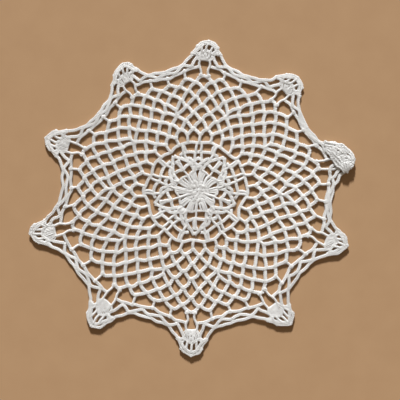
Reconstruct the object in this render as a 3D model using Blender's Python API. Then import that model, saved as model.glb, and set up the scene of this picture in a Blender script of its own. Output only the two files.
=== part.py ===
"""Lace doily: one crocheted cotton sheet with a star rosette, a widening net and ten pointed fans.

+Z is up, and the sheet rests on Z = 0 with the middle of its rosette at the origin. Sizes are in
millimetres until the mesh is made, and angles in degrees, anticlockwise from +X.

The net is first drawn as an even chart of ten like repeats, and then laid out as the cloth lies:
each repeat has its own direction, reach and lift. A chart angle is counted in even steps of
36 degrees, so that 0 is the middle of the first repeat and 18 the valley after it.
"""
import math
from collections import namedtuple

import bmesh
import bpy
import numpy as np
from mathutils import Vector
from mathutils.geometry import delaunay_2d_cdt

METRE = 0.001
REPEATS = 10
STEP = 360 / REPEATS

# Driving sizes of the even chart
EDGE_RADIUS = 126.3
TIP_RADIUS = 152.8
ROSETTE_RADIUS = 47.8
STRAND = 3.0
SHEET = 1.8
KNOT_RISE = 0.5
ARCH_BULGE = 0.7
BAY_BULGE = 0.3
LIFT_FROM = 110.0
THICK_OVER = 8.0
SPREAD_BY = 0.4
CENTRE_TURNS_TO = 22.0

# Which way each repeat's middle lies: in the rosette's centre, at its rim, halfway out and at the
# edge. Then how far its fan's tip leans over, how wide the fan is spread, and how far it has
# shifted along the edge.
Way = namedtuple("Way", "centre rim halfway edge lean spread shift")
WAYS = (
    Way(20.0, 19.3, 14.9, 11.3, -1.5, 0.96, 1.9),
    Way(53.8, 51.4, 50.8, 48.9, -0.6, 0.86, 0.4),
    Way(89.6, 88.1, 86.8, 87.0, -1.3, 0.86, -0.1),
    Way(122.5, 124.3, 123.2, 123.0, -2.5, 0.9, -0.2),
    Way(160.8, 161.9, 160.3, 160.8, -0.4, 0.82, -0.1),
    Way(197.1, 195.4, 195.4, 195.2, -1.5, 0.75, 0.2),
    Way(230.1, 228.3, 228.4, 230.5, 0.9, 0.8, 0.3),
    Way(265.9, 265.3, 266.1, 267.3, -0.2, 0.84, 0.6),
    Way(306.1, 301.6, 302.0, 303.3, 2.0, 0.8, 0.1),
    Way(342.5, 340.7, 341.4, 339.4, 0.6, 0.86, 0.4),
)

# How far each repeat reaches: its fan's tip, the foot of its fan, and in the valley after it the
# net and the edge. The net between swells by the last two, in the middle and in the valley.
Reach = namedtuple("Reach", "tip foot net_valley edge_valley swell valley_swell")
REACHES = (
    Reach(152.5, 132.4, 120.8, 121.8, -1.9, 1.4),
    Reach(145.7, 125.4, 116.8, 120.6, -1.7, 1.6),
    Reach(145.0, 124.2, 114.6, 119.4, -0.6, 2.2),
    Reach(141.8, 122.5, 117.7, 121.3, -1.5, 2.2),
    Reach(153.8, 129.6, 124.1, 129.9, -1.1, 4.0),
    Reach(165.8, 139.9, 134.0, 138.5, -1.8, 0.8),
    Reach(163.8, 133.8, 122.4, 129.9, -1.4, 3.0),
    Reach(157.2, 130.2, 122.5, 129.9, -2.4, 0.7),
    Reach(154.4, 128.0, 117.6, 126.1, -3.4, -0.1),
    Reach(151.6, 129.5, 126.7, 128.0, -6.2, -0.1),
)

# How high each fan's tip stands, and how thick the fan is
LIFTS = (2.6, 0.8, 0.8, 0.6, 1.0, 1.3, 1.1, 1.2, 1.1, 1.2)
FAN_THICK = 2.0
DOUBLED_FAN = 0
DOUBLED_THICK = 4.8

# The net's rounds from the rosette out: the radius of the knots that hold a round's arches, and
# their chart angles within a repeat.
Round = namedtuple("Round", "radius knots")
ROUNDS = (
    Round(56.2, (-12.0, 0.0, 12.0)),
    Round(61.2, (-6.2, 6.2, 18.0)),
    Round(69.7, (-12.1, 0.0, 12.1)),
    Round(77.3, (-5.9, 5.9, 18.0)),
    Round(84.1, (-10.6, 0.0, 10.6, 18.0)),
    Round(92.4, (-13.1, -4.4, 4.4, 13.1)),
    Round(100.5, (-8.5, 0.0, 8.5, 18.0)),
    Round(107.7, (-13.3, -4.4, 4.4, 13.3)),
)
# Gaps under narrower arches stay uncut, and so does the flat one in the last round's valley.
LEAST_ARCH = 7.5

# The bars that carry the edging: where they stand and end, and their chart angles. The two beside
# the middle carry the fan, and the gap between them stays uncut.
BAR_FOOT_RADIUS = 113.5
BAR_TOP_RADIUS = 122.3
BARS = (-18.0, -9.4, -1.8, 1.8, 9.4, 18.0)
LEAST_BAY = 5.0

# Half a fan's outline, from the valley to the tip: the chart angle from the tip, and the share of
# the way from the edge out to the tip.
Corner = namedtuple("Corner", "angle share")
FAN = (
    Corner(18.0, 0.0),
    Corner(15.5, 0.0),
    Corner(13.0, 0.02),
    Corner(10.5, 0.08),
    Corner(9.0, 0.17),
    Corner(7.5, 0.4),
    Corner(5.7, 0.56),
    Corner(4.5, 0.79),
    Corner(2.4, 0.88),
    Corner(0.0, 1.0),
)

# The rosette's ten larger gaps, two beside each of its five divides
ROSETTE_GAP_RADIUS = 42.6
ROSETTE_GAP_ANGLE = 11.0
ROSETTE_GAP_SIZE = 4.0
GAP_CORNERS = 6

# Smaller gaps are dents in the upper face: the chart angle from the middle of a repeat, on both
# sides of it, the radius, and the width and length. The rosette's lie beside its divides and
# beside the points of its star by turns.
Dent = namedtuple("Dent", "angle radius wide long")
DIVIDE_DENTS = (Dent(0.0, 29.0, 5.0, 5.0), Dent(14.0, 34.8, 4.4, 4.4))
POINT_DENTS = (Dent(12.0, 21.6, 3.8, 3.6), Dent(8.6, 44.4, 5.6, 4.4))
NET_DENTS = (Dent(14.4, 84.4, 4.4, 6.4), Dent(18.0, 107.6, 9.0, 4.4), Dent(0.0, 121.4, 4.0, 9.0))
SLIT_DENTS = (Dent(9.7, 123.9, 10.0, 1.3), Dent(18.0, 123.8, 11.0, 1.3))
FAN_SIDE_DENTS = (Dent(3.7, 127.2, 3.0, 6.0), Dent(6.1, 130.6, 3.2, 6.4))
FAN_RAY_DENTS = (Dent(3.0, 139.4, 2.6, 3.6), Dent(1.0, 144.2, 1.8, 6.0))
DENT_DEPTH = 1.2

# The raised star and the ring in its middle
STAR_RISE = 0.6
STAR_POINT_RADIUS = 41.0
STAR_DIVIDE_RADIUS = 21.0
STAR_BAND = 4.0
CENTRE_RADIUS = 5.0

COTTON_COLOUR = (0.80, 0.83, 0.84, 1.0)
COTTON_ROUGHNESS = 0.9


def smooth(share):
    share = min(1.0, max(0.0, share))
    return share * share * (3 - 2 * share)


def turned(start, end):
    """The shortest turn between two directions."""
    return (end - start + 180) % 360 - 180


def direction(way, radius):
    """A repeat's own direction, which bends on its way from the rosette to the edge."""
    if radius < ROSETTE_RADIUS:
        share = max(0.0, (radius - CENTRE_TURNS_TO) / (ROSETTE_RADIUS - CENTRE_TURNS_TO))
        return way.centre + (way.rim - way.centre) * share
    share = min(1.0, (radius - ROSETTE_RADIUS) / (EDGE_RADIUS - ROSETTE_RADIUS))
    near = way.rim * (1 - share) * (1 - 2 * share)
    far = way.edge * share * (2 * share - 1)
    return near + way.halfway * 4 * share * (1 - share) + far


def around(turns, middle, valley):
    """A reach or swell that many repeats round the chart, from its two columns."""
    half = math.floor(turns * 2)
    ends = []
    for k in (half, half + 1):
        ends.append(getattr(REACHES[k // 2 % REPEATS], valley if k % 2 else middle))
    return ends[0] + smooth(turns * 2 - half) * (ends[1] - ends[0])


def net_reach(turns, radius):
    """How far the net's chart radius reaches there."""
    share = radius / EDGE_RADIUS
    stretch = around(turns, "foot", "net_valley") / EDGE_RADIUS - 1
    swell = around(turns, "swell", "valley_swell")
    return radius * (1 + stretch * share) + swell * 4 * share * (1 - share)


def heading(turns, radius):
    """The direction, in degrees, of a place that many repeats round the chart."""
    before = math.floor(turns)
    start = direction(WAYS[before % REPEATS], radius)
    end = direction(WAYS[(before + 1) % REPEATS], radius)
    return start + turned(start, end) * (turns - before)


def lay(angle, radius):
    """Where a point of the chart lies on the table."""
    turns = angle / STEP
    edge = around(turns, "foot", "edge_valley")
    if radius <= BAR_TOP_RADIUS:
        toward = heading(turns, radius)
        reach = net_reach(turns, radius)
    elif radius <= EDGE_RADIUS:
        toward = heading(turns, radius)
        band = (radius - BAR_TOP_RADIUS) / (EDGE_RADIUS - BAR_TOP_RADIUS)
        net = net_reach(turns, BAR_TOP_RADIUS)
        reach = net + (edge - net) * band
    else:
        out = (radius - EDGE_RADIUS) / (TIP_RADIUS - EDGE_RADIUS)
        own = round(turns)
        fan = WAYS[own % REPEATS]
        wider = 1 + (fan.spread - 1) * smooth(out / SPREAD_BY)
        moved = fan.lean * out * out + fan.shift * smooth(out / SPREAD_BY)
        toward = heading(own + (turns - own) * wider, radius) + moved
        reach = edge + (REACHES[own % REPEATS].tip - edge) * out
    toward = math.radians(toward)
    return Vector((reach * math.cos(toward), reach * math.sin(toward)))


def lift(angle, radius):
    """How high the cloth's underside stands: only the fans leave the table."""
    turns = angle / STEP
    own = round(turns)
    rise = smooth((radius - LIFT_FROM) / (TIP_RADIUS - LIFT_FROM))
    return LIFTS[own % REPEATS] * rise * smooth(1 - 2 * abs(turns - own))


def thickness(angle, radius):
    """The sheet's own thickness, which grows into each fan."""
    doubled = round(angle / STEP) % REPEATS == DOUBLED_FAN
    fan = DOUBLED_THICK if doubled else FAN_THICK
    return SHEET + (fan - SHEET) * smooth((radius - EDGE_RADIUS) / THICK_OVER)


class Sheet:
    """The points and edges of the sheet, seen from above, with the height of each face there."""

    def __init__(self):
        self.flat = []
        self.low = []
        self.high = []
        self.loops = []
        self.ridges = []

    def point(self, angle, radius, rise=0.0, at=None):
        """Adds a point at a place of the chart, or at its own place on the table."""
        low = lift(angle, radius)
        self.flat.append(at or lay(angle, radius))
        self.low.append(low)
        self.high.append(low + thickness(angle, radius) + rise)
        return len(self.flat) - 1

    def ridge(self, chart, rise):
        """Adds a closed line of raised points that the upper face's triangles keep to."""
        points = [self.point(angle, radius, rise) for angle, radius in chart]
        self.ridges += zip(points, points[1:] + points[:1])


def inset(corners, distance):
    """The corners of a polygon with every side moved inwards by distance."""
    area = sum(corners[i - 1].cross(corner) for i, corner in enumerate(corners))
    inward = math.copysign(distance, area)
    moved = []
    for i, corner in enumerate(corners):
        arriving = (corner - corners[i - 1]).normalized()
        leaving = (corners[(i + 1) % len(corners)] - corner).normalized()
        along = (arriving + leaving).normalized()
        normal = Vector((-along.y, along.x))
        moved.append(corner + normal * inward / along.dot(arriving))
    return moved


def cut(sheet, chart):
    """Adds one gap, whose chart corners run along the middles of the strands around it."""
    corners = inset([lay(angle, radius) for angle, radius in chart], STRAND / 2)
    loop = []
    for (angle, radius), at in zip(chart, corners):
        loop.append(sheet.point(angle, radius, at=at))
    sheet.loops.append(loop)


def add_first_gaps(sheet, middle):
    """The gaps of the first round, between the bars that stand on the rosette."""
    sides = ROUNDS[0].radius
    for left in ROUNDS[0].knots:
        right = left + STEP / len(ROUNDS[0].knots)
        chart = (
            (left, ROSETTE_RADIUS),
            (right, ROSETTE_RADIUS),
            (right, sides),
            ((left + right) / 2, ROUNDS[1].radius),
            (left, sides),
        )
        cut(sheet, [(middle + angle, radius) for angle, radius in chart])


def knot_between(row, left, right):
    """The chart angle of a round's knot between two angles, or their middle where it has none."""
    for angle in row.knots + tuple(knot + STEP for knot in row.knots):
        if left < angle < right:
            return angle
    return (left + right) / 2


def add_net_gaps(sheet, middle):
    """The gaps of the other rounds: each is a V on the knot below it, under its own arch."""
    edging = Round(BAR_FOOT_RADIUS, ())
    for inner, own, outer in zip(ROUNDS, ROUNDS[1:], ROUNDS[2:] + (edging,)):
        shoulder = (own.radius + outer.radius) / 2 + ARCH_BULGE
        ends = own.knots[1:] + (own.knots[0] + STEP,)
        for left, right in zip(own.knots, ends):
            thin_valley = outer is edging and left > STEP / 4
            if right - left < LEAST_ARCH or thin_valley:
                continue
            top = knot_between(outer, left, right)
            chart = (
                (knot_between(inner, left, right), inner.radius),
                (right, own.radius),
                ((right + top) / 2, shoulder),
                (top, outer.radius),
                ((left + top) / 2, shoulder),
                (left, own.radius),
            )
            cut(sheet, [(middle + angle, radius) for angle, radius in chart])


def add_edge_gaps(sheet, middle):
    """The wide gaps under the edging, between the bars that carry it."""
    for left, right in zip(BARS, BARS[1:]):
        if right - left < LEAST_BAY:
            continue
        chart = (
            (knot_between(ROUNDS[-1], left, right), ROUNDS[-1].radius),
            (right, BAR_FOOT_RADIUS),
            (right, BAR_TOP_RADIUS),
            ((left + right) / 2, BAR_TOP_RADIUS + BAY_BULGE),
            (left, BAR_TOP_RADIUS),
            (left, BAR_FOOT_RADIUS),
        )
        cut(sheet, [(middle + angle, radius) for angle, radius in chart])


def add_rosette_gaps(sheet, middle):
    """Two rounded gaps beside a divide of the rosette."""
    for side in (-1, 1):
        loop = []
        for k in range(GAP_CORNERS):
            turn = math.tau * k / GAP_CORNERS
            out = ROSETTE_GAP_SIZE * math.cos(turn)
            across = math.degrees(ROSETTE_GAP_SIZE * math.sin(turn) / ROSETTE_GAP_RADIUS)
            angle = middle + side * ROSETTE_GAP_ANGLE + across
            loop.append(sheet.point(angle, ROSETTE_GAP_RADIUS + out))
        sheet.loops.append(loop)


def add_knots(sheet, middle):
    """A raised point on each knot of the net."""
    for row in ROUNDS:
        for angle in row.knots:
            sheet.point(middle + angle, row.radius, KNOT_RISE)
    for angle in BARS[1:]:
        sheet.point(middle + angle, BAR_FOOT_RADIUS, KNOT_RISE)


def add_dents(sheet, middle, dents):
    """Shallow pointed dents, each once in the middle of a repeat or valley and else twice."""
    for dent in dents:
        across = math.degrees(dent.wide / 2 / dent.radius)
        along = dent.long / 2
        for side in (-1, 1) if dent.angle % (STEP / 2) else (1,):
            angle = middle + side * dent.angle
            rim = (
                (angle - across, dent.radius),
                (angle, dent.radius - along),
                (angle + across, dent.radius),
                (angle, dent.radius + along),
            )
            sheet.ridge(rim, 0.0)
            sheet.point(angle, dent.radius, -DENT_DEPTH)


def add_star(sheet):
    """The star's band, raised along its middle, and the ring in the middle of the rosette."""
    for offset, rise in ((-STAR_BAND / 2, 0.0), (0.0, STAR_RISE), (STAR_BAND / 2, 0.0)):
        chart = []
        for k in range(REPEATS):
            radius = STAR_POINT_RADIUS if k % 2 else STAR_DIVIDE_RADIUS
            chart.append((k * STEP, radius + offset))
        sheet.ridge(chart, rise)
    sheet.ridge([(k * STEP, CENTRE_RADIUS) for k in range(REPEATS)], STAR_RISE)
    sheet.point(0.0, 0.0)


def add_outline(sheet):
    """The scalloped edge, with a pointed fan in the middle of each repeat."""
    loop = []
    for k in range(REPEATS):
        rising = [(-corner.angle, corner.share) for corner in FAN]
        falling = [(corner.angle, corner.share) for corner in reversed(FAN[1:-1])]
        for angle, share in rising + falling:
            radius = EDGE_RADIUS + share * (TIP_RADIUS - EDGE_RADIUS)
            loop.append(sheet.point(k * STEP + angle, radius))
    sheet.loops.append(loop)


def inside(points, polygon):
    """Which points lie in a polygon, by counting the sides that a ray from each crosses."""
    odd = np.zeros(len(points), bool)
    x, y = points.T
    for (x0, y0), (x1, y1) in zip(np.roll(polygon, 1, axis=0), polygon):
        if y0 != y1:
            crossing = x0 + (y - y0) * (x1 - x0) / (y1 - y0)
            odd ^= ((y0 > y) != (y1 > y)) & (x < crossing)
    return odd


def triangles_of(sheet, numbers, edges):
    """Triangles over the cloth and not over its gaps, as numbers of the sheet's points."""
    place = {number: k for k, number in enumerate(numbers)}
    flat = [sheet.flat[number] for number in numbers]
    ends = [(place[a], place[b]) for a, b in edges]
    found = delaunay_2d_cdt(flat, ends, [], 0, 1e-6)
    sources = [numbers[origin[0]] for origin in found[3]]
    corners = np.array(found[2])
    centres = np.array([tuple(co) for co in found[0]])[corners].mean(axis=1)
    cloth = np.zeros(len(corners), bool)
    for loop in sheet.loops:
        cloth ^= inside(centres, np.array([tuple(sheet.flat[number]) for number in loop]))
    return [[sources[k] for k in corner] for corner in corners[cloth]]


def build_mesh(sheet):
    """The closed sheet: an upper face, an underside, and a wall round each loop."""
    rims = [(a, b) for loop in sheet.loops for a, b in zip(loop, loop[1:] + loop[:1])]
    rim_points = [number for loop in sheet.loops for number in loop]
    upper = triangles_of(sheet, range(len(sheet.flat)), rims + sheet.ridges)
    under = triangles_of(sheet, rim_points, rims)

    work = bmesh.new()
    top = [work.verts.new((*at * METRE, z * METRE)) for at, z in zip(sheet.flat, sheet.high)]
    base = {}
    for number in rim_points:
        base[number] = work.verts.new((*sheet.flat[number] * METRE, sheet.low[number] * METRE))
    for a, b, c in upper:
        work.faces.new((top[a], top[b], top[c]))
    for a, b, c in under:
        work.faces.new((base[c], base[b], base[a]))
    for a, b in rims:
        work.faces.new((top[a], top[b], base[b], base[a]))
    bmesh.ops.triangulate(work, faces=[face for face in work.faces if len(face.verts) > 3])
    bmesh.ops.recalc_face_normals(work, faces=work.faces)
    mesh = bpy.data.meshes.new("doily")
    work.to_mesh(mesh)
    work.free()
    return mesh


def cotton():
    material = bpy.data.materials.new("white cotton")
    material.use_nodes = True
    shader = material.node_tree.nodes["Principled BSDF"]
    shader.inputs["Base Color"].default_value = COTTON_COLOUR
    shader.inputs["Roughness"].default_value = COTTON_ROUGHNESS
    shader.inputs["Metallic"].default_value = 0.0
    return material


def main():
    for thing in list(bpy.data.objects):
        bpy.data.objects.remove(thing)
    sheet = Sheet()
    for k in range(REPEATS):
        middle = k * STEP
        add_first_gaps(sheet, middle)
        add_net_gaps(sheet, middle)
        add_edge_gaps(sheet, middle)
        add_knots(sheet, middle)
        add_dents(sheet, middle, NET_DENTS + SLIT_DENTS + FAN_SIDE_DENTS)
        if k != DOUBLED_FAN:
            add_dents(sheet, middle, FAN_RAY_DENTS)
        if k % 2 == 0:
            add_rosette_gaps(sheet, middle)
            add_dents(sheet, middle, DIVIDE_DENTS)
        else:
            add_dents(sheet, middle, POINT_DENTS)
    add_star(sheet)
    add_outline(sheet)
    doily = bpy.data.objects.new("doily", build_mesh(sheet))
    doily.data.materials.append(cotton())
    bpy.context.collection.objects.link(doily)


main()
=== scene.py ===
"""Looks of the lace doily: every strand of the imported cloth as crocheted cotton, on a plain floor.

Sizes are in millimetres until a mesh is made, and angles in degrees, anticlockwise from +X. As in
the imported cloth, the net is drawn as an even chart of ten like repeats and then laid out as the
cloth lies. A chart angle of 0 is the middle of the first repeat, and 18 the valley after it.
"""
import math
from collections import namedtuple

import bpy
import numpy as np
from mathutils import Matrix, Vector


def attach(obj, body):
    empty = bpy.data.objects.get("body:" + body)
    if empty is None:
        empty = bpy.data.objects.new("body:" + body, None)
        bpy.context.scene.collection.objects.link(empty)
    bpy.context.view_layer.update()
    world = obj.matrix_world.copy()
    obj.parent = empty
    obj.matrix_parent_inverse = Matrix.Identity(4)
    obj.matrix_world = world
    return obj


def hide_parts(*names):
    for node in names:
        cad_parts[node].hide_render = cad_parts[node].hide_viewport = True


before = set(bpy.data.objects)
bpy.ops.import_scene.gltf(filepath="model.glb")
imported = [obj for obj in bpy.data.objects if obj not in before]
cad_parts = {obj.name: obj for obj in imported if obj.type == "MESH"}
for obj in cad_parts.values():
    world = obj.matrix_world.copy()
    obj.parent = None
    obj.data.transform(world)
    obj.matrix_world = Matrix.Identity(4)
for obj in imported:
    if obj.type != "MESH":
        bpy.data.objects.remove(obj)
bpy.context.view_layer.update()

METRE = 0.001
REPEATS = 10
STEP = 360 / REPEATS
VALLEY = STEP / 2

# The even chart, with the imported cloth's sizes
EDGE_RADIUS = 126.3
TIP_RADIUS = 152.8
ROSETTE_RADIUS = 47.8
ARCH_BULGE = 0.7
LIFT_FROM = 110.0
SPREAD_BY = 0.4
CENTRE_TURNS_TO = 22.0

Way = namedtuple("Way", "centre rim halfway edge lean spread shift")
WAYS = (
    Way(20.0, 19.3, 14.9, 11.3, -1.5, 0.96, 1.9),
    Way(53.8, 51.4, 50.8, 48.9, -0.6, 0.86, 0.4),
    Way(89.6, 88.1, 86.8, 87.0, -1.3, 0.86, -0.1),
    Way(122.5, 124.3, 123.2, 123.0, -2.5, 0.9, -0.2),
    Way(160.8, 161.9, 160.3, 160.8, -0.4, 0.82, -0.1),
    Way(197.1, 195.4, 195.4, 195.2, -1.5, 0.75, 0.2),
    Way(230.1, 228.3, 228.4, 230.5, 0.9, 0.8, 0.3),
    Way(265.9, 265.3, 266.1, 267.3, -0.2, 0.84, 0.6),
    Way(306.1, 301.6, 302.0, 303.3, 2.0, 0.8, 0.1),
    Way(342.5, 340.7, 341.4, 339.4, 0.6, 0.86, 0.4),
)
Reach = namedtuple("Reach", "tip foot net_valley edge_valley swell valley_swell")
REACHES = (
    Reach(152.5, 132.4, 120.8, 121.8, -1.9, 1.4),
    Reach(145.7, 125.4, 116.8, 120.6, -1.7, 1.6),
    Reach(145.0, 124.2, 114.6, 119.4, -0.6, 2.2),
    Reach(141.8, 122.5, 117.7, 121.3, -1.5, 2.2),
    Reach(153.8, 129.6, 124.1, 129.9, -1.1, 4.0),
    Reach(165.8, 139.9, 134.0, 138.5, -1.8, 0.8),
    Reach(163.8, 133.8, 122.4, 129.9, -1.4, 3.0),
    Reach(157.2, 130.2, 122.5, 129.9, -2.4, 0.7),
    Reach(154.4, 128.0, 117.6, 126.1, -3.4, -0.1),
    Reach(151.6, 129.5, 126.7, 128.0, -6.2, -0.1),
)
LIFTS = np.array((2.6, 0.8, 0.8, 0.6, 1.0, 1.3, 1.1, 1.2, 1.1, 1.2))
DOUBLED_FAN = 0

Round = namedtuple("Round", "radius knots")
ROUNDS = (
    Round(56.2, (-12.0, 0.0, 12.0)),
    Round(61.2, (-6.2, 6.2, 18.0)),
    Round(69.7, (-12.1, 0.0, 12.1)),
    Round(77.3, (-5.9, 5.9, 18.0)),
    Round(84.1, (-10.6, 0.0, 10.6, 18.0)),
    Round(92.4, (-13.1, -4.4, 4.4, 13.1)),
    Round(100.5, (-8.5, 0.0, 8.5, 18.0)),
    Round(107.7, (-13.3, -4.4, 4.4, 13.3)),
)
INNER_ROUNDS = 5
STAR_KNOT_ROUND = 3
BAR_FOOT_RADIUS = 113.5
BAR_TOP_RADIUS = 122.3
BAY_BULGE = 0.3
BARS = (-18.0, -9.4, -1.8, 1.8, 9.4, 18.0)
LEAST_BAY = 5.0

# A strand of the rosette's close centre or its open rim: its kind, how far its middle stands up,
# and its line, given by chart angles from a divide of the rosette, where 36 is the next point of
# its star, and by radii. Strands lie on both sides of each divide.
Line = namedtuple("Line", "kind rise line")
CENTRE = (
    Line("post", 0.2, ((36, 2.4), (36, 26.6))),
    Line("post", 0.1, ((20, 3.4), (21, 10.6))),
    Line("post", 0.2, ((10, 3.2), (12, 10.4))),
    Line("post", 0.1, ((31, 3.9), (33.5, 12.0), (33.5, 19.4))),
    Line("post", 0.2, ((23, 10.8), (22.5, 19.6))),
    Line("post", 0.3, ((15, 10.8), (17, 19.6))),
    Line("post", 0.2, ((10, 10.8), (12, 19.6))),
    Line("post", 0.2, ((4, 10.8), (7, 19.8))),
    Line("chain", 0.2, ((36, 18.9), (22, 18.9), (11, 20.0), (0, 22.2))),
)
ROSETTE = (
    Line("post", 0.2, ((2.5, 22.4), (2.5, 25.4))),
    Line("post", 0.3, ((9, 20.6), (7, 25.6))),
    Line("chain", 0.1, ((10, 20.8), (16.0, 26.2), (21.6, 30.8), (27.6, 35.6), (32.9, 40.4), (35.4, 43.2))),
    Line("chain", 0.2, ((36, 26.8), (28, 27.0), (20, 26.8))),
    Line("post", 0.1, ((34.6, 27.0), (34.4, 35.4))),
    Line("chain", 0.2, ((36, 36.4), (32, 36.2))),
    Line("chain", 0.3, ((0, 25.2), (7.2, 28.4), (6.8, 30.8), (0, 32.8))),
    Line("chain", 0.2, ((1.5, 25.4), (9.8, 28.4), (13, 31.2), (22, 33.2))),
    Line("post", 0.1, ((6.5, 31.0), (4.6, 38.6))),
    Line("post", 0.1, ((21.5, 33.0), (20.6, 38.6))),
    Line("chain", 0.1, ((0, 39.0), (10, 38.4), (21, 38.8), (28, 39.4))),
    Line("post", 0.1, ((3.2, 39.0), (2.9, 47.4))),
    Line("post", 0.1, ((17.8, 39.0), (18.6, 47.4))),
    Line("post", 0.1, ((21.6, 39.2), (21.0, 47.4))),
    Line("chain", 0.1, ((36, 41.6), (33.4, 41.4))),
)
ROSETTE_RINGS = (2.3, 5.6, 8.2, 10.9)
RING_RISE = 0.1
RING_STEPS = 40
CENTRE_KNOTS = 34
CENTRE_OUT = 9.5
CENTRE_KNOT_SIZE = 0.8
CENTRE_KNOT_RISES = (0.3, 0.7)
STAR_KNOTS = ((15, 26.4), (21, 31.0), (27, 35.6), (0, 25.4), (0, 32.8), (21, 38.8), (36, 26.8))

# A strand of a fan: chart angles from its middle, and shares of the way from the edge to the tip.
# Strands lie on both sides of the middle. The first two run out from the valley.
FAN = (
    Line("chain", 0.1, (
        (18, -0.022), (15.8, -0.012), (13.4, -0.004), (11.4, -0.004), (9.7, 0.03), (8.5, 0.13),
        (7.4, 0.28), (6.5, 0.42), (5.1, 0.56), (4.4, 0.70), (3.4, 0.83), (1.8, 0.90), (0, 0.965),
    )),
    Line("chain", 0.2, (
        (18, -0.055), (15.9, -0.075), (13.9, -0.10), (11.8, -0.06), (9.5, -0.005), (7.6, -0.045),
        (5.9, -0.08), (4.9, 0.03), (4.1, 0.18), (3.5, 0.30),
    )),
    Line("chain", 0.3, ((6.2, 0.36), (5.0, 0.46), (3.9, 0.60), (2.6, 0.74), (1.0, 0.83), (0, 0.86))),
    Line("chain", 0.3, ((6.0, 0.44), (4.8, 0.40), (3.5, 0.33))),
    Line("post", 0.1, ((1.8, -0.483), (1.7, -0.30), (2.3, -0.12), (2.1, 0.08))),
    Line("chain", 0.2, ((4.1, 0.32), (2.2, 0.44), (0, 0.53))),
    Line("post", 0.3, ((0.0, 0.54), (0.0, 0.88))),
    Line("post", 0.2, ((2.0, 0.46), (2.3, 0.78))),
    Line("post", 0.2, ((3.4, 0.38), (4.6, 0.56))),
)

# The close rays in a fan's foot: how many, how wide they stand and where they start and end
RAYS = 13
RAY_FOOT = 2.0
RAY_SPREAD = 4.3
RAY_START = 0.04
RAY_END = 0.5
RAY_DROP = 0.16
RAY_BEND = 0.85
RAY_RISE = 0.25
RAY_KNOTS = 8
RAY_KNOT_SIZE = 0.55
RAY_KNOT_RISES = (0.2, 0.5)

# The picots on its edge
PICOTS = ((6.6, 0.41), (4.4, 0.73), (0.0, 0.955))
PICOT_RISE = 0.2

# The second layer of the doubled fan: strands that run out from one place to another
Fold = namedtuple("Fold", "angle share outer_angle outer_share rise")
FOLDS = (
    Fold(6.9, -0.03, 9.2, 0.13, 0.9),
    Fold(5.8, -0.01, 7.5, 0.30, 1.2),
    Fold(4.9, 0.00, 6.6, 0.44, 1.4),
    Fold(4.0, 0.00, 5.7, 0.57, 1.5),
    Fold(3.1, -0.01, 4.8, 0.69, 1.6),
    Fold(2.2, -0.02, 3.9, 0.79, 1.6),
    Fold(1.3, 0.01, 2.8, 0.87, 1.5),
    Fold(0.4, 0.05, 1.6, 0.94, 1.4),
    Fold(-0.6, 0.09, 0.4, 0.97, 1.6),
    Fold(-1.6, 0.18, -0.9, 0.95, 1.9),
    Fold(-2.8, 0.25, -2.2, 0.88, 2.2),
    Fold(-4.1, 0.32, -3.5, 0.78, 2.3),
    Fold(-5.3, 0.38, -4.8, 0.67, 2.2),
    Fold(-6.2, 0.43, -6.0, 0.54, 2.0),
)
FOLD_STRANDS = 26
FOLD_ROWS = 8
CRUMPLE = 0.8
# The strand beside its foot, on the side that is folded over
FOLDED_STRAND = ((-3.9, -0.14), (-1.5, -0.11), (0.2, 0.05), (1.0, 0.15))

# The thread: how wide it is, how a chain's and a post's strands of it swing, and how long a stitch is
YARN = 1.2
CHAIN_SWING = 1.2
CHAIN_HEAVE = 0.52
CHAIN_PITCH = 5.2
POST_SWING = 0.95
POST_HEAVE = 0.6
POST_PITCH = 4.2
PLIES = 3
YARN_SIDES = 5
YARN_FLATNESS = 0.92
YARN_STEP = 0.75
CORE_WIDE = 2.1
CORE_HIGH = 1.1
CORE_SIDES = 6
CORE_STEP = 1.5
# How thick each part is worked, against the net
WORKED = {
    "centre": 0.76,
    "rosette": 1.0,
    "inner_net": 1.12,
    "outer_net": 1.1,
    "edging": 0.98,
    "fans": 0.92,
    "rays": 0.55,
    "folds": 0.62,
}
MIDDLE_HEIGHT = 1.25
FOOT = 0.7

# A knot: a thread wound round and out, domed in its middle
KNOT_IN = 0.45
KNOT_OUT = 2.0
KNOT_DOME = 0.35
KNOT_WAVE = 0.22
KNOT_TURNS = 2.6
KNOT_STEPS = 27
WAVES_OUT = 3.7
WAVES_UP = 2.3
NET_KNOT_RISE = 0.3
EDGING_KNOT_RISE = 0.4
SMALL_KNOT = 0.85

# How far the strands stray from the chart, and how much of that a single strand strays
STRAY = 0.28
BOW = 0.3
RISE = 0.35

PIXEL = 0.955
PHOTO_SIDE = 400
ROSETTE_PIXEL = (197.7, 192.0)
CAMERA_HEIGHT = 1.5
SENSOR = 36.0

rng = np.random.default_rng(11)


def column(table, name):
    return np.array([getattr(row, name) for row in table])


CENTRE_WAY = column(WAYS, "centre")
RIM_WAY = column(WAYS, "rim")
HALFWAY_WAY = column(WAYS, "halfway")
EDGE_WAY = column(WAYS, "edge")
LEAN = column(WAYS, "lean")
SPREAD = column(WAYS, "spread")
SHIFT = column(WAYS, "shift")
TIP = column(REACHES, "tip")


def smooth(share):
    share = np.clip(share, 0.0, 1.0)
    return share * share * (3 - 2 * share)


def turned(start, end):
    """The shortest turn between two directions."""
    return (end - start + 180) % 360 - 180


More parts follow.
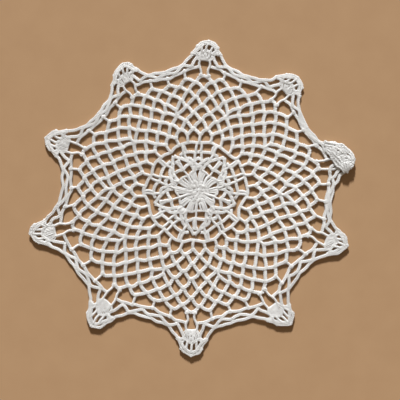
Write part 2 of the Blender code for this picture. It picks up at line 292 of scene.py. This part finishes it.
def direction(number, radius):
    """A repeat's own direction, which bends on its way from the rosette to the edge."""
    share = np.clip((radius - CENTRE_TURNS_TO) / (ROSETTE_RADIUS - CENTRE_TURNS_TO), 0, 1)
    inner = CENTRE_WAY[number] + (RIM_WAY[number] - CENTRE_WAY[number]) * share
    share = np.clip((radius - ROSETTE_RADIUS) / (EDGE_RADIUS - ROSETTE_RADIUS), 0, 1)
    near = RIM_WAY[number] * (1 - share) * (1 - 2 * share)
    far = EDGE_WAY[number] * share * (2 * share - 1)
    outer = near + HALFWAY_WAY[number] * 4 * share * (1 - share) + far
    return np.where(radius < ROSETTE_RADIUS, inner, outer)


def around(turns, middle, valley):
    """A reach or swell that many repeats round the chart, from its two columns."""
    ends = np.ravel(np.column_stack((column(REACHES, middle), column(REACHES, valley))))
    half = np.floor(turns * 2).astype(int)
    near = ends[half % len(ends)]
    return near + smooth(turns * 2 - half) * (ends[(half + 1) % len(ends)] - near)


def net_reach(turns, radius):
    """How far the net's chart radii reach there."""
    share = radius / EDGE_RADIUS
    stretch = around(turns, "foot", "net_valley") / EDGE_RADIUS - 1
    swell = around(turns, "swell", "valley_swell")
    return radius * (1 + stretch * share) + swell * 4 * share * (1 - share)


def heading(turns, radius):
    """The direction, in degrees, of places that many repeats round the chart."""
    before = np.floor(turns).astype(int)
    start = direction(before % REPEATS, radius)
    end = direction((before + 1) % REPEATS, radius)
    return start + turned(start, end) * (turns - before)


def lay(angle, radius):
    """Where points of the chart lie on the table."""
    turns = angle / STEP
    edge = around(turns, "foot", "edge_valley")
    own = np.rint(turns)
    fan = own.astype(int) % REPEATS
    out = (radius - EDGE_RADIUS) / (TIP_RADIUS - EDGE_RADIUS)
    wider = 1 + (SPREAD[fan] - 1) * smooth(out / SPREAD_BY)
    moved = LEAN[fan] * out * out + SHIFT[fan] * smooth(out / SPREAD_BY)
    outer_way = heading(own + (turns - own) * wider, radius) + moved
    outer_reach = edge + (TIP[fan] - edge) * out
    band = np.clip((radius - BAR_TOP_RADIUS) / (EDGE_RADIUS - BAR_TOP_RADIUS), 0, 1)
    inner_reach = net_reach(turns, np.minimum(radius, BAR_TOP_RADIUS))
    inner_reach = inner_reach + (edge - inner_reach) * band
    toward = np.radians(np.where(out > 0, outer_way, heading(turns, radius)))
    reach = np.where(out > 0, outer_reach, inner_reach)
    return np.column_stack((reach * np.cos(toward), reach * np.sin(toward)))


def lift(angle, radius):
    """How high the cloth's underside stands: only the fans leave the table."""
    turns = angle / STEP
    own = np.rint(turns)
    rise = smooth((radius - LIFT_FROM) / (TIP_RADIUS - LIFT_FROM))
    return LIFTS[own.astype(int) % REPEATS] * rise * smooth(1 - 2 * np.abs(turns - own))


WAVES = rng.uniform(0, 1, (6, 4))


def stray(flat):
    """A smooth unevenness over the table, sideways and along."""
    moved = np.zeros_like(flat)
    for turn, length, first, second in WAVES:
        way = math.tau * turn
        ahead = flat @ (math.cos(way), math.sin(way)) / (6 + 14 * length)
        moved[:, 0] += np.sin(ahead * math.tau + math.tau * first)
        moved[:, 1] += np.sin(ahead * math.tau + math.tau * second)
    return flat + moved * STRAY / math.sqrt(3)


def spline(corners, steps=10):
    """A smooth line through the corners."""
    corners = np.array(corners, float)
    before = np.vstack((2 * corners[0] - corners[1], corners[:-1]))
    after = np.vstack((corners[1:], 2 * corners[-1] - corners[-2]))
    slope = (after - before) / 2
    line = []
    for start, end, leave, arrive in zip(corners, corners[1:], slope, slope[1:]):
        for share in np.arange(steps) / steps:
            square, cube = share**2, share**3
            line.append(
                start * (2 * cube - 3 * square + 1)
                + leave * (cube - 2 * square + share)
                + end * (3 * square - 2 * cube)
                + arrive * (cube - square)
            )
    return np.array(line + [corners[-1]])


def run_of(chart, rise=0.0, step=0.25):
    """A strand's middle line on the table, from its line on the chart."""
    angle, radius = spline(chart).T
    flat = stray(lay(angle, radius))
    height = lift(angle, radius) + MIDDLE_HEIGHT
    along = np.concatenate(([0.0], np.cumsum(np.hypot(*np.diff(flat, axis=0).T))))
    count = max(3, int(along[-1] / step) + 1)
    at = np.linspace(0, along[-1], count)
    x, y, z = (np.interp(at, along, values) for values in (*flat.T, height))
    hump = np.sin(math.pi * at / along[-1])
    side_x, side_y = -np.gradient(y), np.gradient(x)
    size = np.hypot(side_x, side_y) + 1e-9
    bow = rng.uniform(-BOW, BOW) * hump
    z = z + hump * rng.uniform(0, RISE) + rise
    return np.column_stack((x + bow * side_x / size, y + bow * side_y / size, z))


def frames(line):
    """For each point of a line: its way ahead, its way sideways and its way up."""
    ahead = np.gradient(line, axis=0)
    ahead /= np.linalg.norm(ahead, axis=1, keepdims=True) + 1e-9
    side = np.cross((0, 0, 1), ahead)
    side /= np.linalg.norm(side, axis=1, keepdims=True) + 1e-9
    return ahead, side, np.cross(ahead, side)


def resampled(line, step):
    along = np.concatenate(([0.0], np.cumsum(np.linalg.norm(np.diff(line, axis=0), axis=1))))
    count = max(3, int(round(along[-1] / step)) + 1)
    at = np.linspace(0, along[-1], count)
    return np.column_stack([np.interp(at, along, values) for values in line.T]), at


class Piece:
    """Closed tubes that are gathered for one mesh, with each one's unrolled surface."""

    def __init__(self, name):
        self.name = name
        self.points = []
        self.tubes = []
        self.count = 0

    def tube(self, line, wide, high, sides):
        """Adds a closed tube round a line, flattened if it is wider than high."""
        ahead, side, up = frames(line)
        turn = np.arange(sides) * math.tau / sides
        across = np.cos(turn)[None, :, None] * side[:, None] * wide / 2
        above = np.sin(turn)[None, :, None] * up[:, None] * high / 2
        ring = line[:, None] + across + above
        along = np.concatenate(([0.0], np.cumsum(np.linalg.norm(np.diff(line, axis=0), axis=1))))
        self.points.append(ring.reshape(-1, 3))
        self.tubes.append((self.count, len(line), sides, along, math.pi * (wide + high) / 2))
        self.count += len(line) * sides

    def build(self, material):
        """Makes the mesh, with the unrolled tubes laid in rows as its texture layout."""
        total = sum(tube[3][-1] + 2 * tube[4] for tube in self.tubes)
        pitch = max(tube[4] for tube in self.tubes) * 1.15
        side = math.sqrt(total * pitch) * 1.02 + 2 * pitch
        quads, quad_uv, caps, cap_uv, cap_sizes = [], [], [], [], []
        cursor = 0.0
        for first, rings, sides, along, girth in self.tubes:
            row = first + np.arange(rings - 1)[:, None] * sides
            j = np.arange(sides)[None, :]
            k = (j + 1) % sides
            faces = np.stack((row + j, row + k, row + k + sides, row + j + sides), axis=-1)
            quads.append(faces.reshape(-1, 4))
            start = (cursor + along[:-1])[:, None] + 0 * j
            length = np.diff(along)[:, None] + 0 * j
            shelf = np.floor(start / (side - 2 * pitch))
            u0 = start - shelf * (side - 2 * pitch)
            v0 = shelf * pitch + girth * j / sides
            v1 = v0 + girth / sides
            u1 = u0 + length
            uv = np.stack((u0, v0, u0, v1, u1, v1, u1, v0), axis=-1)
            quad_uv.append(uv.reshape(-1, 2) / side)
            cursor += along[-1]
            for ring, order in ((0, range(sides - 1, -1, -1)), (rings - 1, range(sides))):
                shelf = math.floor(cursor / (side - 2 * pitch))
                middle = cursor - shelf * (side - 2 * pitch) + girth / 4
                for corner in order:
                    turn = math.tau * corner / sides
                    caps.append(first + ring * sides + corner)
                    u = middle + girth / 7 * math.cos(turn)
                    v = shelf * pitch + girth / 4 + girth / 7 * math.sin(turn)
                    cap_uv.append((u, v))
                cap_sizes.append(sides)
                cursor += girth / 2
        quads = np.concatenate(quads)
        corners = np.concatenate((quads.ravel(), caps))
        sizes = np.concatenate((np.full(len(quads), 4), cap_sizes)).astype(int)
        starts = np.concatenate(([0], np.cumsum(sizes)[:-1])).astype(int)
        mesh = bpy.data.meshes.new(self.name)
        mesh.vertices.add(self.count)
        mesh.vertices.foreach_set("co", (np.concatenate(self.points) * METRE).ravel())
        mesh.loops.add(len(corners))
        mesh.loops.foreach_set("vertex_index", corners.astype(int))
        mesh.polygons.add(len(sizes))
        mesh.polygons.foreach_set("loop_start", starts)
        mesh.update(calc_edges=True)
        mesh.polygons.foreach_set("use_smooth", np.ones(len(sizes), bool))
        layout = mesh.uv_layers.new(name="OFBake")
        unrolled = np.concatenate((*quad_uv, np.array(cap_uv) / side))
        layout.data.foreach_set("uv", unrolled.ravel())
        mesh.validate()
        mesh.materials.append(material)
        thing = bpy.data.objects.new(self.name, mesh)
        bpy.context.collection.objects.link(thing)
        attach(thing, "root")
        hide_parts("doily")
        return thing


CLOTH = Piece("doily_cloth")
STITCHES = {name: Piece("doily_stitches_" + name) for name in WORKED}
KNOTS = Piece("doily_knots")


def crochet(where, kind, chart, rise=0.0):
    """Lays one strand: its flat core, and the three strands of thread that wind round it."""
    size = WORKED[where]
    line = run_of(chart, rise)
    core, _ = resampled(line, CORE_STEP)
    CLOTH.tube(core, CORE_WIDE * size, CORE_HIGH, CORE_SIDES)
    line, along = resampled(line, YARN_STEP)
    _, side, up = frames(line)
    swing = size * (CHAIN_SWING if kind == "chain" else POST_SWING)
    pitch = size * (CHAIN_PITCH if kind == "chain" else POST_PITCH)
    first = rng.uniform(0, math.tau)
    for ply in range(PLIES):
        phase = along / pitch * math.tau + first + ply * math.tau / PLIES
        across = swing * np.sin(phase)
        above = CHAIN_HEAVE * np.sin(2 * phase) if kind == "chain" else swing * POST_HEAVE * np.cos(phase)
        yarn = line + side * across[:, None] + up * above[:, None]
        STITCHES[where].tube(yarn, YARN * size, YARN * size * YARN_FLATNESS, YARN_SIDES)


def knot(angle, radius, rise=0.0, size=1.0):
    """One knot of thread, wound round from its middle out."""
    angle, radius = np.array([angle]), np.array([radius])
    x, y = stray(lay(angle, radius))[0]
    z = lift(angle, radius)[0] + MIDDLE_HEIGHT + rise
    share = np.arange(KNOT_STEPS + 1) / KNOT_STEPS
    turn = share * KNOT_TURNS * math.tau + rng.uniform(0, math.tau)
    out = KNOT_IN + (KNOT_OUT - KNOT_IN) * share + KNOT_WAVE * np.sin(WAVES_OUT * turn)
    above = KNOT_DOME * (1 - share) + KNOT_WAVE * np.cos(WAVES_UP * turn)
    line = np.column_stack((out * np.cos(turn), out * np.sin(turn), above))
    KNOTS.tube(line * size + (x, y, z), YARN * size, YARN * size, YARN_SIDES)


def knot_between(row, left, right):
    """The chart angle of a round's knot between two angles, or their middle where it has none."""
    for angle in row.knots + tuple(knot + STEP for knot in row.knots):
        if left < angle < right:
            return angle
    return (left + right) / 2


def foot(radius):
    """How far from a knot's middle a strand starts on its ring, as a chart angle."""
    return math.degrees(FOOT / radius)


def lay_rosette(middle):
    for where, lines in (("centre", CENTRE), ("rosette", ROSETTE)):
        for line in lines:
            for side in (-1, 1):
                chart = [(middle + side * angle, radius) for angle, radius in line.line]
                crochet(where, line.kind, chart, line.rise)
    for angle, radius in STAR_KNOTS:
        for side in (-1, 1) if angle % STEP else (1,):
            knot(middle + side * angle, radius, NET_KNOT_RISE, SMALL_KNOT)


def ring(radius):
    return [(360 * k / RING_STEPS, radius) for k in range(RING_STEPS + 1)]


def lay_rings():
    """The rings of the rosette's centre, the knots strewn over them, and the ring round the rosette."""
    for radius in ROSETTE_RINGS:
        crochet("centre", "chain", ring(radius), RING_RISE)
    for _ in range(CENTRE_KNOTS):
        angle = rng.uniform(0, 360)
        radius = CENTRE_OUT * math.sqrt(rng.uniform(0.02, 1))
        knot(angle, radius, rng.uniform(*CENTRE_KNOT_RISES), CENTRE_KNOT_SIZE)
    crochet("rosette", "chain", ring(ROSETTE_RADIUS), RING_RISE)


def lay_net(middle):
    edging = Round(BAR_FOOT_RADIUS, ())
    for angle in ROUNDS[0].knots:
        bar = ((middle + angle, ROSETTE_RADIUS), (middle + angle, ROUNDS[0].radius))
        crochet("inner_net", "post", bar)
    near, far = ROUNDS[STAR_KNOT_ROUND : STAR_KNOT_ROUND + 2]
    bar = ((middle + VALLEY, near.radius), (middle + VALLEY, far.radius))
    crochet("inner_net", "post", bar)
    for number, (own, outer) in enumerate(zip(ROUNDS, ROUNDS[1:] + (edging,))):
        where = "inner_net" if number < INNER_ROUNDS else "outer_net"
        shoulder = (own.radius + outer.radius) / 2 + ARCH_BULGE
        off = foot(own.radius)
        ends = own.knots[1:] + (own.knots[0] + STEP,)
        for left, right in zip(own.knots, ends):
            top = knot_between(outer, left, right)
            chart = (
                (left + off, own.radius + 0.3),
                ((left + top) / 2, shoulder),
                (top, outer.radius),
                ((right + top) / 2, shoulder),
                (right - off, own.radius + 0.3),
            )
            crochet(where, "chain", [(middle + angle, radius) for angle, radius in chart])
        for angle in own.knots:
            knot(middle + angle, own.radius + 0.2, NET_KNOT_RISE)


def lay_edging(middle):
    for angle in BARS[1:]:
        if abs(angle) > LEAST_BAY:
            bar = ((middle + angle, BAR_FOOT_RADIUS), (middle + angle, BAR_TOP_RADIUS))
            crochet("edging", "post", bar)
            knot(middle + angle, BAR_TOP_RADIUS, EDGING_KNOT_RISE)
        knot(middle + angle, BAR_FOOT_RADIUS, EDGING_KNOT_RISE)
    for left, right in zip(BARS, BARS[1:]):
        if right - left < LEAST_BAY:
            continue
        chart = (
            (left, BAR_TOP_RADIUS - 0.2),
            ((left + right) / 2, BAR_TOP_RADIUS + BAY_BULGE),
            (right, BAR_TOP_RADIUS - 0.2),
        )
        crochet("edging", "chain", [(middle + angle, radius) for angle, radius in chart])


def fan_radius(share):
    return EDGE_RADIUS + share * (TIP_RADIUS - EDGE_RADIUS)


def lay_folds(middle):
    """The crumpled second layer of the doubled fan: strands out across it, and rows along it."""
    table = np.array(FOLDS)
    rows = np.arange(len(FOLDS))

    def place(along, across):
        """A place on the layer and how far it stands up, by the shares along and across it."""
        spot = Fold(*(np.interp(along * rows[-1], rows, values) for values in table.T))
        turn = (spot.outer_angle - spot.angle) * across + rng.uniform(-CRUMPLE, CRUMPLE)
        share = spot.share + (spot.outer_share - spot.share) * across
        return (middle + (spot.angle + turn), fan_radius(share)), spot.rise

    for k in range(FOLD_STRANDS):
        spots = [place((k + 0.5) / FOLD_STRANDS, across) for across in (0, 0.25, 0.5, 0.75, 1)]
        crochet("folds", "chain", [spot for spot, _ in spots], spots[2][1] + rng.uniform(-0.3, 0.3))
    for k in range(FOLD_ROWS):
        for part in range(4):
            spots = [place((part + share) / 4, k / (FOLD_ROWS - 1)) for share in (0, 0.33, 0.67, 1)]
            crochet("folds", "chain", [spot for spot, _ in spots], spots[1][1] + rng.uniform(0, 0.5))


def lay_rays(middle):
    """The close rays in a fan's foot, with small knots on them."""
    for turn in np.linspace(-1, 1, RAYS):
        drop = RAY_DROP * abs(turn)
        chart = (
            (middle + RAY_FOOT * turn, fan_radius(RAY_START)),
            (middle + RAY_BEND * RAY_SPREAD * turn, fan_radius((RAY_START + RAY_END) / 2 - drop / 2)),
            (middle + RAY_SPREAD * turn, fan_radius(RAY_END - drop)),
        )
        crochet("rays", "post", chart, RAY_RISE)
    for _ in range(RAY_KNOTS):
        share = rng.uniform(RAY_START + 0.1, RAY_END - 0.1)
        angle = middle + rng.uniform(-RAY_FOOT, RAY_FOOT)
        knot(angle, fan_radius(share), rng.uniform(*RAY_KNOT_RISES), RAY_KNOT_SIZE)


def lay_fan(number):
    middle = number * STEP
    for line in FAN:
        for side in (-1, 1):
            where = "edging" if line.line[0][0] == VALLEY else "fans"
            folded = number == DOUBLED_FAN and side < 0
            if line.line[0][0] == 0 and side > 0 or folded and line.kind == "chain" and where == "fans":
                continue
            chart = [(middle + side * angle, fan_radius(share)) for angle, share in line.line]
            crochet(where, line.kind, chart, line.rise)
    lay_rays(middle)
    if number == DOUBLED_FAN:
        lay_folds(middle)
        chart = [(middle + angle, fan_radius(share)) for angle, share in FOLDED_STRAND]
        crochet("fans", "chain", chart, 0.4)
    for angle, share in PICOTS:
        for side in (-1, 1) if angle and number != DOUBLED_FAN else (1,):
            knot(middle + side * angle, fan_radius(share), PICOT_RISE, SMALL_KNOT)


def cotton():
    material = bpy.data.materials.new("white cotton thread")
    material.use_nodes = True
    nodes, links = material.node_tree.nodes, material.node_tree.links
    shader = nodes["Principled BSDF"]
    shader.inputs["Roughness"].default_value = 0.9
    shader.inputs["Specular IOR Level"].default_value = 0.25
    shader.inputs["Sheen Weight"].default_value = 0.2
    shader.inputs["Sheen Roughness"].default_value = 0.5
    place = nodes.new("ShaderNodeTexCoord")
    patches = nodes.new("ShaderNodeTexNoise")
    patches.inputs["Scale"].default_value = 90.0
    patches.inputs["Detail"].default_value = 3.0
    links.new(place.outputs["Object"], patches.inputs["Vector"])
    tone = nodes.new("ShaderNodeValToRGB")
    tone.color_ramp.elements[0].position = 0.3
    tone.color_ramp.elements[0].color = (0.78, 0.79, 0.79, 1)
    tone.color_ramp.elements[1].position = 0.7
    tone.color_ramp.elements[1].color = (0.87, 0.88, 0.88, 1)
    links.new(patches.outputs["Fac"], tone.inputs["Fac"])
    links.new(tone.outputs["Color"], shader.inputs["Base Color"])
    fuzz = nodes.new("ShaderNodeTexNoise")
    fuzz.inputs["Scale"].default_value = 2600.0
    fuzz.inputs["Detail"].default_value = 4.0
    links.new(place.outputs["Object"], fuzz.inputs["Vector"])
    bump = nodes.new("ShaderNodeBump")
    bump.inputs["Strength"].default_value = 0.5
    bump.inputs["Distance"].default_value = 0.0001
    links.new(fuzz.outputs["Fac"], bump.inputs["Height"])
    links.new(bump.outputs["Normal"], shader.inputs["Normal"])
    return material


def add_camera():
    camera = bpy.data.objects.new("camera", bpy.data.cameras.new("camera"))
    across = (PHOTO_SIDE / 2 - ROSETTE_PIXEL[0]) * PIXEL * METRE
    along = (ROSETTE_PIXEL[1] - PHOTO_SIDE / 2) * PIXEL * METRE
    camera.location = (across, along, CAMERA_HEIGHT)
    camera.data.sensor_width = SENSOR
    camera.data.lens = SENSOR * CAMERA_HEIGHT / (PHOTO_SIDE * PIXEL * METRE)
    camera.data.clip_end = 20.0
    bpy.context.collection.objects.link(camera)
    bpy.context.scene.camera = camera


def add_stage():
    """A plain floor, a low sun from the top of the picture and an even sky."""
    bpy.ops.mesh.primitive_plane_add(size=6.0, location=(0, 0, 0))
    floor = bpy.context.object
    floor.name = "floor"
    material = bpy.data.materials.new("pale floor")
    material.use_nodes = True
    nodes, links = material.node_tree.nodes, material.node_tree.links
    shader = nodes["Principled BSDF"]
    shader.inputs["Roughness"].default_value = 0.85
    place = nodes.new("ShaderNodeTexCoord")
    grain = nodes.new("ShaderNodeTexNoise")
    grain.inputs["Scale"].default_value = 40.0
    links.new(place.outputs["Object"], grain.inputs["Vector"])
    tone = nodes.new("ShaderNodeValToRGB")
    tone.color_ramp.elements[0].color = (0.45, 0.275, 0.145, 1)
    tone.color_ramp.elements[1].color = (0.50, 0.315, 0.17, 1)
    links.new(grain.outputs["Fac"], tone.inputs["Fac"])
    links.new(tone.outputs["Color"], shader.inputs["Base Color"])
    floor.data.materials.append(material)

    key = bpy.data.objects.new("key", bpy.data.lights.new("key", "SUN"))
    key.data.energy = 5.2
    key.data.angle = math.radians(6)
    key.rotation_mode = "QUATERNION"
    key.rotation_quaternion = Vector((0.06, -0.90, -0.42)).to_track_quat("-Z", "Y")
    bpy.context.collection.objects.link(key)
    world = bpy.data.worlds.new("studio")
    world.use_nodes = True
    world.node_tree.nodes["Background"].inputs["Color"].default_value = (1.0, 0.82, 0.64, 1)
    world.node_tree.nodes["Background"].inputs["Strength"].default_value = 0.2
    bpy.context.scene.world = world
    bpy.context.scene.view_settings.view_transform = "Standard"


def main():
    add_camera()
    add_stage()
    lay_rings()
    for number in range(REPEATS):
        middle = number * STEP
        if number % 2 == 0:
            lay_rosette(middle)
        lay_net(middle)
        lay_edging(middle)
        lay_fan(number)
    material = cotton()
    cloth = CLOTH.build(material)
    others = [piece.build(material) for piece in (*STITCHES.values(), KNOTS)]


main()
